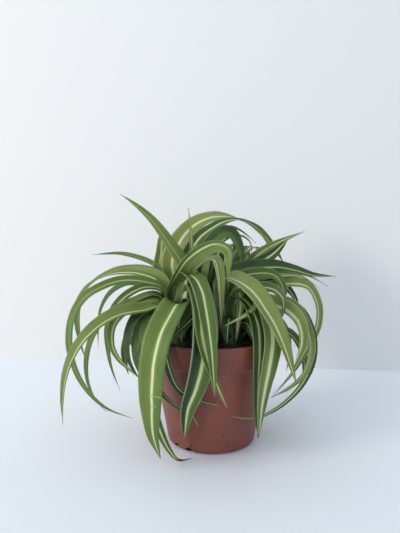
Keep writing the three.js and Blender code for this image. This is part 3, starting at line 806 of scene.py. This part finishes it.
# %% Crowns
leaf_root = 90
crowns = {
    "crown_left": {"foot": (-33, -12), "leaves": left_leaves,
                   "far": [(118, 142, 3, 56, 170, 1.1, 110)]},
    "crown_middle": {"foot": (-13, 20), "leaves": middle_leaves,
                     "far": [(118, 148, 4, 70, 190, 1.4, 165)]},
    "crown_right": {"foot": (20, -2), "leaves": right_leaves,
                    "far": [(16, 46, 3, 56, 170, 1.1, 140)]},
    "crown_back": {"foot": (10, 36), "leaves": back_leaves,
                   "far": [(40, 112, 5, 78, 205, 2.2, 205), (40, 104, 6, 60, 170, 1.1, 140)]},
}
for crown in crowns.values():
    for group in crown["far"]:
        crown["leaves"] += far_group((*crown["foot"], leaf_root), *group)
print("All leaves:", {name: len(crown["leaves"]) for name, crown in crowns.items()})

# %% [markdown]
# ## From a line to a blade
# The lines become one mesh of edges for each crown, whose points carry all that a blade needs: the
# place, the sideways and the facing direction, the half width, and the look. Geometry Nodes read
# those attributes and sweep a flat ring along each line. A blade starts narrow, is at its widest
# about a third of the way along and ends in a point; its gutter is deepest at the foot.

# %% Width and gutter of a blade
tip_half_width = 0.25
foot_width = 0.4
widest_from = 0.35
least_gutter = 0.2
foot_gutter = 0.5


def half_width(share, width, taper):
    rise = foot_width + (1 - foot_width) * math.sin(math.pi / 2 * min(1, share / widest_from))
    return max(tip_half_width, width / 2 * rise * (1 - share ** taper))


def gutter(share):
    return least_gutter + foot_gutter * (1 - share) ** 3


print("A 20 mm blade halfway along:", round(2 * half_width(0.5, 20, 3), 1), "mm wide")

# %% [markdown]
# All leaves of a crown start close together at its foot, each on the side that it grows to, and the
# higher ones start a little higher, so that their feet nest in one another.

# %% Leaf lines
sheath_top = 106
leaf_spread = 3
leaf_nesting = 0.15


def leaf_lines(name, crown):
    x, y = crown["foot"]
    points, edges = [], []
    vectors = {"place": [], "right": [], "face": []}
    numbers = {key: [] for key in ("half", "rise", "share", "reach", "leaf", *look_names)}
    for number, one in enumerate(crown["leaves"]):
        first = one["marks"][0]
        spread = leaf_spread / math.hypot(first[0] - x, first[1] - y)
        root = (x + spread * (first[0] - x), y + spread * (first[1] - y),
                leaf_root + leaf_nesting * (first[2] - sheath_top))
        frames, length = leaf_frames([Vector(mark) for mark in (root, *one["marks"])], one["bank"])
        for i, (place, right, face) in enumerate(frames):
            share = i / path_steps
            half = half_width(share, one["width"], one["taper"]) * mm
            if i:
                edges.append((len(points) - 1, len(points)))
            points.append(place * mm)
            for key, value in zip(vectors, (place * mm, right, face)):
                vectors[key].extend(value)
            row = (half, half * gutter(share), share, share * length * mm, number, *one["look"])
            for key, value in zip(numbers, row):
                numbers[key].append(value)
    mesh = bpy.data.meshes.new(name)
    mesh.from_pydata(points, edges, [])
    for key, values in vectors.items():
        mesh.attributes.new(key, "FLOAT_VECTOR", "POINT").data.foreach_set("vector", values)
    for key, values in numbers.items():
        mesh.attributes.new(key, "FLOAT", "POINT").data.foreach_set("value", values)
    return mesh


leaf_meshes = {name: leaf_lines(name + "_leaves", crown) for name, crown in crowns.items()}
print("Points on the lines:", {name: len(mesh.vertices) for name, mesh in leaf_meshes.items()})

# %% [markdown]
# The blade tree sweeps a ring of points along each line and then puts every point where its
# attributes say. On the ring, across runs from -1 at the left edge to 1 at the right, first over
# the upper face and then back under it, so each blade is a closed thin body.

# %% Blade ring
blades, given, result = geometry_tree("blades", {
    "Points On A Face": "Int", "Rib Thickness": "Float", "Edge Thickness": "Float",
    "Wave Height": "Float", "Wave Length": "Float", "Leaf Material": "Material"})


lines = add(blades, "GeometryNodeMeshToCurve", {"Mesh": given["Geometry"]})
face_points = given["Points On A Face"]
ring_points = times(face_points, 2)
ring = add(blades, "GeometryNodeCurvePrimitiveCircle", {
    "Resolution": ring_points, "Radius": 1 * mm})
index = add(blades, "GeometryNodeInputIndex")
folded = maths("MINIMUM", index, minus(minus(ring_points, 1), index))
from_left = maths("DIVIDE", folded, minus(face_points, 1))
ring = stored(ring, "across", times_plus(from_left, 2.0, -1.0))
ring = stored(ring, "under", maths("GREATER_THAN", index, minus(face_points, 0.5)))
swept = add(blades, "GeometryNodeCurveToMesh", {
    "Curve": lines, "Profile Curve": ring, "Fill Caps": True})
print("Blade tree so far:", len(blades.nodes), "nodes")

# %% [markdown]
# The second half of the tree works out each point's place. The edges are lifted to a gutter. A slow
# wave runs along them, as on the real leaf: noise with its own stretch for each leaf and each edge,
# which fades to nothing at the middle rib. Where a blade is only a few millimetres wide, both the
# wave and the thickness shrink with it, so that the tips are thin and calm.

# %% Blade points
leaf_stretch = 7.3
wave_swing = 4.0
wave_curve, gutter_curve, thinning_curve = 2.0, 1.2, 0.7
wave_gain, body_gain = 250.0, 700.0


def named(name, kind="FLOAT"):
    return add(blades, "GeometryNodeInputNamedAttribute", {"Name": name}, data_type=kind)


across = named("across")
out = maths("ABSOLUTE", across)
half = named("half")
run = maths("DIVIDE", named("reach"), given["Wave Length"])
lane = times_plus(named("leaf"), leaf_stretch, maths("SIGN", across))
wave_place = add(blades, "ShaderNodeCombineXYZ", {0: run, 1: lane})
swing = times_plus(noise(wave_place, 1.0, 1), wave_swing, -wave_swing / 2)
wave = times(swing, given["Wave Height"])
fade = times(maths("POWER", out, wave_curve), maths("MINIMUM", times(half, wave_gain), 1.0))
fold = times(named("rise"), maths("POWER", out, gutter_curve))
middle_height = times_plus(wave, fade, fold)
thinning = minus(given["Edge Thickness"], given["Rib Thickness"])
thickness = times_plus(thinning, maths("POWER", out, thinning_curve), given["Rib Thickness"])
slim = times(thickness, maths("MINIMUM", times(half, body_gain), 1.0))
upper_or_under = times_plus(named("under"), -1.0, 0.5)
height = times_plus(slim, upper_or_under, middle_height)
aside = vector_maths("SCALE", named("right", "FLOAT_VECTOR"), times(half, across))
above = vector_maths("SCALE", named("face", "FLOAT_VECTOR"), height)
middle = named("place", "FLOAT_VECTOR")
spot = vector_maths("ADD", vector_maths("ADD", middle, aside), above)
shaped = add(blades, "GeometryNodeSetPosition", {"Geometry": swept, "Position": spot})
smooth = add(blades, "GeometryNodeSetShadeSmooth", {"Geometry": shaped})
end_tree(result, smooth, given["Leaf Material"])

# %% [markdown]
# ## Leaf finish
# The leaf is mid green with fine lengthwise veins and a cream stripe that wanders a little. Some
# margins are pale, the underside is duller, the foot is nearly white and the very tip is dry. All
# of it follows the blade's own attributes, so the stripe stays on the leaf however it bends. Two
# noises run along the leaf: a slow drift, and fine streaks that are far longer than wide.

# %% Leaf attributes in the material
leaf_material, tree, shader = new_material("striped_leaf")
(across, share, under, leaf_number, own_tone, stripe_width, shift, pale, dry, scarred, fades,
 sides, burnt_share) = (
    add(tree, "ShaderNodeAttribute", output="Fac", attribute_name=name)
    for name in ("across", "share", "under", "leaf", *look_names))
lane_gap = 5.7
drifts_along = 9.0
streaks_across, streaks_along = 16.0, 5.0
own_lane = times(leaf_number, lane_gap)
drift_place = add(tree, "ShaderNodeCombineXYZ", {0: times(share, drifts_along), 1: own_lane})
drift = noise(drift_place, 1.0, 1)
streak_place = add(tree, "ShaderNodeCombineXYZ", {
    0: times(across, streaks_across), 1: times(share, streaks_along), 2: own_lane})
streaks = noise(streak_place, 1.0, 3)
print("Leaf material so far:", len(tree.nodes), "nodes")

# %% [markdown]
# The stripe is where the distance from its centre is less than its half width. The drift moves
# that centre and the streaks roughen its edge. Towards the tip it takes up more of the blade,
# because the blade tapers and the stripe hardly does. Beside it lies a blurred halo. Veins are a
# sine across the leaf, bent by the streaks.

# %% Stripe, margins and veins
stripe_wander, stripe_raggedness, stripe_blur = 0.18, 0.1, 0.035
stripe_at_foot, stripe_growth = 0.72, 0.5
halo_width, halo_blur = 2.4, 0.12
fade_span = 0.12
margin_start, margin_full = 0.84, 0.95
vein_waves, vein_bend = 46.0, 3.0
centre = times_plus(minus(drift, 0.5), stripe_wander, shift)
distance = maths("ABSOLUTE", minus(across, centre))
rough = times_plus(minus(streaks, 0.5), stripe_raggedness, distance)
reach = times(stripe_width, times_plus(share, stripe_growth, stripe_at_foot))
whole_stripe = smooth_step(rough, plus(reach, stripe_blur), minus(reach, stripe_blur))
lasting = smooth_step(share, plus(fades, fade_span), minus(fades, fade_span))
stripe = times(whole_stripe, lasting)
halo = smooth_step(rough, times_plus(reach, halo_width, halo_blur), reach)
margin = times(smooth_step(maths("ABSOLUTE", across), margin_start, margin_full), pale)
vein_wave = maths("SINE", times_plus(streaks, vein_bend, times(across, vein_waves)))
veins = times_plus(vein_wave, 0.5, 0.5)
print("Veins across a leaf:", round(vein_waves / math.pi))

# %% [markdown]
# The green runs from nearly black over a full mid green to olive. A slow mottle and the streaks
# move it along that scale, as the photograph shows. A small step between the two halves of a leaf
# moves it too: that step is painted light and shade, with one half of the folded blade lighter.

# %% Leaf greens
dark_green = (0.012, 0.040, 0.010)
mid_green = (0.096, 0.176, 0.022)
olive_green = (0.245, 0.288, 0.070)
mottle_swing, streak_swing = 0.4, 0.5
rib_blur = 0.1
slow_tone = shared(tree, mottle, {"Scale": 45.0, "Contrast": 1.0})
tone = plus(own_tone, times_plus(slow_tone, mottle_swing, -mottle_swing / 2))
streaked = plus(tone, times_plus(streaks, streak_swing, -streak_swing / 2))
# The step between the halves is painted light and shade: one half of the folded blade is made
# lighter, as if it faced the light, and the other darker.
half_of_leaf = minus(smooth_step(across, -rib_blur, rib_blur), 0.5)
half_lit_tone = times_plus(half_of_leaf, sides, streaked)
full_green = layer(smooth_step(half_lit_tone, 0.0, 0.55), dark_green, mid_green)
green = layer(smooth_step(half_lit_tone, 0.5, 1.0), full_green, olive_green)
print("Greens:", dark_green, mid_green, olive_green)

# %% [markdown]
# Over the green lie a pale halo beside the stripe, dark veins, the stripe itself, the pale margins,
# the dull underside and the light foot. The tip is tan where it dries and nearly black at its end.

# %% Leaf markings
halo_green, vein_green = (0.27, 0.37, 0.10), (0.018, 0.05, 0.012)
stripe_cream, margin_cream = (0.65, 0.69, 0.35), (0.46, 0.54, 0.28)
underside_green, foot_cream = (0.15, 0.22, 0.11), (0.30, 0.36, 0.18)
dry_tan, burnt_brown = (0.29, 0.185, 0.095), (0.045, 0.030, 0.020)
dry_blur = 0.03
foot_share = 0.10
dry_edge = times_plus(streaks, dry_blur, share)


def withered(part):
    """A mask over the last part of the leaf, with a ragged edge."""
    start = minus(1.0, part)
    return smooth_step(dry_edge, start, plus(start, dry_blur))


foot = smooth_step(share, foot_share, 0.0)
marked = layered(green, (halo, 0.34, halo_green), (veins, 0.18, vein_green),
                 (stripe, 0.95, stripe_cream), (margin, 1.0, margin_cream),
                 (under, 0.25, underside_green), (foot, 0.4, foot_cream),
                 (withered(dry), 1.0, dry_tan),
                 (withered(times(dry, burnt_share)), 1.0, burnt_brown))
print("Leaf material so far:", len(tree.nodes), "nodes")

# %% [markdown]
# The big front leaf carries two old scars, thin tan lines where it was once creased: one runs over
# more than half of the blade and one over a part of it. They show on the upper face only.

# %% Scars
scar_tan = (0.34, 0.30, 0.15)
scar_bend, scar_blur, scar_core, scar_end = 0.012, 0.0030, 0.0008, 0.05


def scar(place, left, right):
    """A thin line across the leaf at this share of its length, between two places across it."""
    bent = times_plus(streaks, scar_bend, minus(share, place))
    line = smooth_step(maths("ABSOLUTE", bent), scar_blur, scar_core)
    from_left = smooth_step(across, left - scar_end, left)
    to_right = smooth_step(across, right + scar_end, right)
    return times(line, times(from_left, to_right))


long_scar = scar(0.713, -1.0, 0.25)
short_scar = scar(0.755, -0.5, 0.1)
scar_leaf = times(scarred, minus(1.0, under))
leaf_colour = layered(marked, (maths("MAXIMUM", long_scar, short_scar), scar_leaf, scar_tan))
fill(shader, {"Base Color": leaf_colour})
print("Leaves with scars:", sum(one["look"][look_names.index("scarred")]
                                for crown in crowns.values() for one in crown["leaves"]))

# %% [markdown]
# The upper face has a waxy satin sheen and the underside is dull. The veins also stand up very
# slightly, which a Bump node shows.

# %% Leaf sheen and relief
upper_dullness, underside_extra, streak_dullness = 0.44, 0.16, 0.16
dull = minus(times_plus(under, underside_extra, upper_dullness), streak_dullness / 2)
relief = times_plus(veins, 0.5, times(streaks, 0.5))
bump = add(tree, "ShaderNodeBump", {"Strength": 0.35, "Distance": 0.2 * mm, "Height": relief})
fill(shader, {"Roughness": times_plus(streaks, streak_dullness, dull),
              "Specular IOR Level": 0.42, "Normal": bump})
print("Leaf material:", len(tree.nodes), "nodes")

# %% [markdown]
# Now the blade tree runs on the lines of each crown. Nine points over a face are enough for a
# smooth gutter and a wavy edge, and keep a whole crown well under 100,000 triangles.

# %% Grow the crowns
leaf_pieces = {}
for name, mesh in leaf_meshes.items():
    piece = leaf_pieces[name] = new_object(mesh.name, mesh)
    grow(piece, blades, {"Points On A Face": 9, "Rib Thickness": 0.8 * mm,
                         "Edge Thickness": 0.4 * mm, "Wave Height": 0.5 * mm,
                         "Wave Length": 22 * mm, "Leaf Material": leaf_material})
    print(piece.name, len(crowns[name]["leaves"]), "leaves,", triangles_in(piece), "triangles")

# %% [markdown]
# ## Leaf sheaths
# Where the leaves leave the soil their feet wrap round each other in a pale fleshy sheath. It is
# turned like the pot, with the foot in the same hole in the soil as in the CAD model. Seven sharp
# folds that twist a little on the way up are then pressed into it, where one foot wraps the next.

# %% Sheaths
foot_radius = 7 * mm
neck_radius = 8.4 * mm
neck_height = 96 * mm
foot_height = soil_height - 12 * mm
sheath_profile = [
    (0, foot_height),
    (foot_radius, foot_height),
    (neck_radius, neck_height),
    (0.86 * neck_radius, neck_height + 4 * mm),
    (0.68 * neck_radius, neck_height + 7.5 * mm),
    (0.5 * neck_radius, sheath_top * mm),
    (0, sheath_top * mm),
]
sheath_folds = 7
fold_depth = 0.12
fold_twist = 40
sheath_shape = bmesh.new()
for crown in crowns.values():
    x, y = crown["foot"]
    one = turned("one_sheath", sheath_profile, 84, (x * mm, y * mm))
    for vertex in one.vertices:
        aside, deep = vertex.co.x - x * mm, vertex.co.y - y * mm
        turn = sheath_folds * math.atan2(deep, aside) + fold_twist * vertex.co.z
        inward = fold_depth * abs(math.sin(turn / 2)) ** 3
        vertex.co.x -= inward * aside
        vertex.co.y -= inward * deep
    sheath_shape.from_mesh(one)
    bpy.data.meshes.remove(one)
sheaths = new_object("leaf_sheaths", bpy.data.meshes.new("leaf_sheaths"))
sheath_shape.to_mesh(sheaths.data)
sheath_shape.free()
print("Sheaths:", triangles_in(sheaths), "triangles")

# %% [markdown]
# A sheath is fibrous: its pale green is streaked from foot to neck, grows darker towards the leaves
# and carries soil dust where it stands in the mix. The streaks are noise on the object's own place
# that is squeezed sideways, so that it runs far longer up than across.

# %% Sheath material
fibre_dark, fibre_light = (0.03, 0.05, 0.02), (0.13, 0.17, 0.07)
neck_green = (0.035, 0.075, 0.018)
sheath_dust = (0.03, 0.02, 0.014)


def object_place_in(tree, **mapping):
    """The place on the object, and the same place turned and squeezed as the mapping says."""
    place = add(tree, "ShaderNodeTexCoord", output="Object")
    return place, add(tree, "ShaderNodeMapping", {"Vector": place, **mapping})


sheath_material, tree, shader = new_material("pale_sheath")
object_place, squeezed = object_place_in(tree, Scale=(700, 700, 30))
level = add(tree, "ShaderNodeSeparateXYZ", {0: object_place}, output="Z")
greening = smooth_step(level, neck_height - 2 * mm, sheath_top * mm)
dust = shared(tree, soil_dust, {"Full Height": soil_height, "Clear Height": 0.1, "Scale": 400.0})
fill(shader, {"Roughness": 0.5, "Base Color": layered(
    layer(noise(squeezed, 1.0, 3), fibre_dark, fibre_light),
    (greening, 0.7, neck_green), (dust, 1.0, sheath_dust))})
sheaths.data.materials.append(sheath_material)
print("Sheath material:", len(tree.nodes), "nodes")

# %% [markdown]
# ## Pot finish
# The plastic is terracotta brown with a satin face. It is a little paler where it was stretched in
# forming, it has dust and specks of soil low down, and it is scuffed with short pale scratches. The
# inside of the rim, above the band's step, is darkened nearly to black.

# %% Pot colours
plastic_dark, plastic_light = (0.148, 0.038, 0.025), (0.245, 0.064, 0.041)
scratch_pale = (0.40, 0.21, 0.17)
dust_brown = (0.12, 0.07, 0.05)
speck_brown = (0.03, 0.018, 0.014)
inner_rim_darkening = (0.02, 0.012, 0.009)
pot_material, tree, shader = new_material("terracotta_plastic")
object_place, squeezed = object_place_in(tree, Rotation=(0.5, 0.3, 0.2), Scale=(60, 60, 900))
slow_tone = shared(tree, mottle, {"Scale": 22.0, "Contrast": 1.2})
scratches = smooth_step(noise(squeezed, 1.0, 2), 0.70, 0.76)
dust = shared(tree, soil_dust, {"Full Height": 0.0, "Clear Height": 0.05, "Scale": 170.0})
cell_distance = add(tree, "ShaderNodeTexVoronoi", {"Vector": object_place, "Scale": 90.0})
x, y, z = add(tree, "ShaderNodeSeparateXYZ", {0: object_place}).node.outputs
specks = times(smooth_step(cell_distance, 0.16, 0.08), smooth_step(z, 35 * mm, 4 * mm))
from_axis = maths("SQRT", plus(maths("POWER", x, 2.0), maths("POWER", y, 2.0)))
# The inside of the rim, above the band's step, is darkened nearly to black.
in_rim = times(smooth_step(from_axis, 58.2 * mm, 57.8 * mm),
               maths("GREATER_THAN", z, shoulder + band_step))
fill(shader, {"Base Color": layered(
    layer(slow_tone, plastic_dark, plastic_light), (scratches, 0.2, scratch_pale),
    (dust, 0.5, dust_brown), (specks, 1.0, speck_brown), (in_rim, 0.9, inner_rim_darkening))})
print("Pot material so far:", len(tree.nodes), "nodes")

# %% [markdown]
# Dust is duller than bare plastic, and the moulded face has a very fine grain. Damp soil shows
# behind the drain holes: the balls left curved faces there, and those get the soil's near-black
# material, which is painted shade in the holes as well as the soil that lies in them.

# %% Pot sheen and drain holes
plastic_dullness, grain_dullness, dust_dullness = 0.36, 0.12, 0.25
fine = shared(tree, mottle, {"Scale": 700.0, "Contrast": 1.0})
satin = times_plus(fine, grain_dullness, plastic_dullness)
bump = add(tree, "ShaderNodeBump", {"Strength": 0.12, "Distance": 0.2 * mm, "Height": fine})
fill(shader, {"Roughness": times_plus(dust, dust_dullness, satin), "Normal": bump})
pot.data.materials.append(pot_material)
pot.data.materials.append(soil_material)
# The curved faces of the drain holes get the soil's near-black material: painted shade in the
# holes, together with the soil lodged there.
behind_drain = drain_radius + 0.1 * mm
for face in pot.data.polygons:
    if any((face.center - place).length < behind_drain for place in drain_places):
        face.material_index = 1
drain_soil_and_shade_faces = sum(face.material_index for face in pot.data.polygons)
print("Soil behind the drain holes:", drain_soil_and_shade_faces, "faces")

# %% [markdown]
# ## Room and light
# The plant stands on a white table in front of a pale wall, which is turned by a few degrees. The
# wall is seen from its front only, so that a view from behind isn't blocked: its back is clear.

# %% Table and wall
def sheet(name, corners, material_name, colour, roughness):
    mesh = bpy.data.meshes.new(name)
    mesh.from_pydata(corners, [], [(0, 1, 2, 3)])
    material, tree, shader = new_material(material_name)
    fill(shader, {"Base Color": (*colour, 1), "Roughness": roughness})
    mesh.materials.append(material)
    return new_object(name, mesh), tree, shader


room = 4.0
wall_y = 0.312
wall_turn = math.radians(-7.5)
wall_slant = room * math.tan(wall_turn)
left_foot, right_foot = (-room, wall_y - wall_slant), (room, wall_y + wall_slant)
table_corners = [(-room, -room, 0), (room, -room, 0), (room, room, 0), (-room, room, 0)]
wall_corners = [(*left_foot, 0), (*right_foot, 0), (*right_foot, room), (*left_foot, room)]
table = sheet("table", table_corners, "white_table", (0.92, 0.95, 1.0), 0.55)[0]
back_wall, tree, shader = sheet("wall", wall_corners, "pale_wall", (0.79, 0.79, 0.79), 0.9)
back_side = add(tree, "ShaderNodeNewGeometry", output="Backfacing")
clear = add(tree, "ShaderNodeBsdfTransparent")
either = add(tree, "ShaderNodeMixShader", {0: back_side, 1: shader.outputs[0], 2: clear})
fill(tree.nodes["Material Output"], {"Surface": either})
print("Wall", round(wall_y, 3), "m behind the pot, turned", round(math.degrees(wall_turn), 1))

# %% [markdown]
# Soft daylight comes from two windows at the left, a high one and a low one nearer to the front.
# Area lamps of about a metre give the soft-edged shadows, and the pale blue world fills them.

# %% Daylight
world = bpy.data.worlds.new("daylight")
world.use_nodes = True
fill(world.node_tree.nodes["Background"], {"Color": (0.76, 0.87, 1.0, 1), "Strength": 0.70})
bpy.context.scene.world = world


def window(name, place, size, power, colour):
    lamp = bpy.data.lights.new(name, "AREA")
    lamp.size, lamp.energy, lamp.color = size, power, colour
    made = new_object(name, lamp)
    made.location = place
    towards_plant = Vector((0, 0, 0.12)) - Vector(place)
    made.rotation_euler = towards_plant.to_track_quat("-Z", "Y").to_euler()
    print(name, power, "watts,", round(towards_plant.length, 1), "m away")


window("high_window", (-2.6, -1.3, 2.3), 1.2, 38, (1.0, 0.95, 0.85))
window("low_window", (-2.6, -2.9, 0.5), 0.9, 42, (1.0, 0.92, 0.81))

# %% [markdown]
# ## Hand over
# Every piece rides on the one body of the CAD frame. The pot, the soil and the crowns of leaves
# stand for their CAD nodes, which stay for collision.

# %% Pieces on the frame
for piece, node, slot in ((pot, "pot", "pot"), (soil, "soil", "soil"),
                          *((leaf_pieces[name], name, "leaf") for name in crowns)):
    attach(piece, "root")
    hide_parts(node)
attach(sheaths, "root")
print("Pieces that stand for CAD nodes:", 2 + len(leaf_pieces), "and the sheaths beside them")
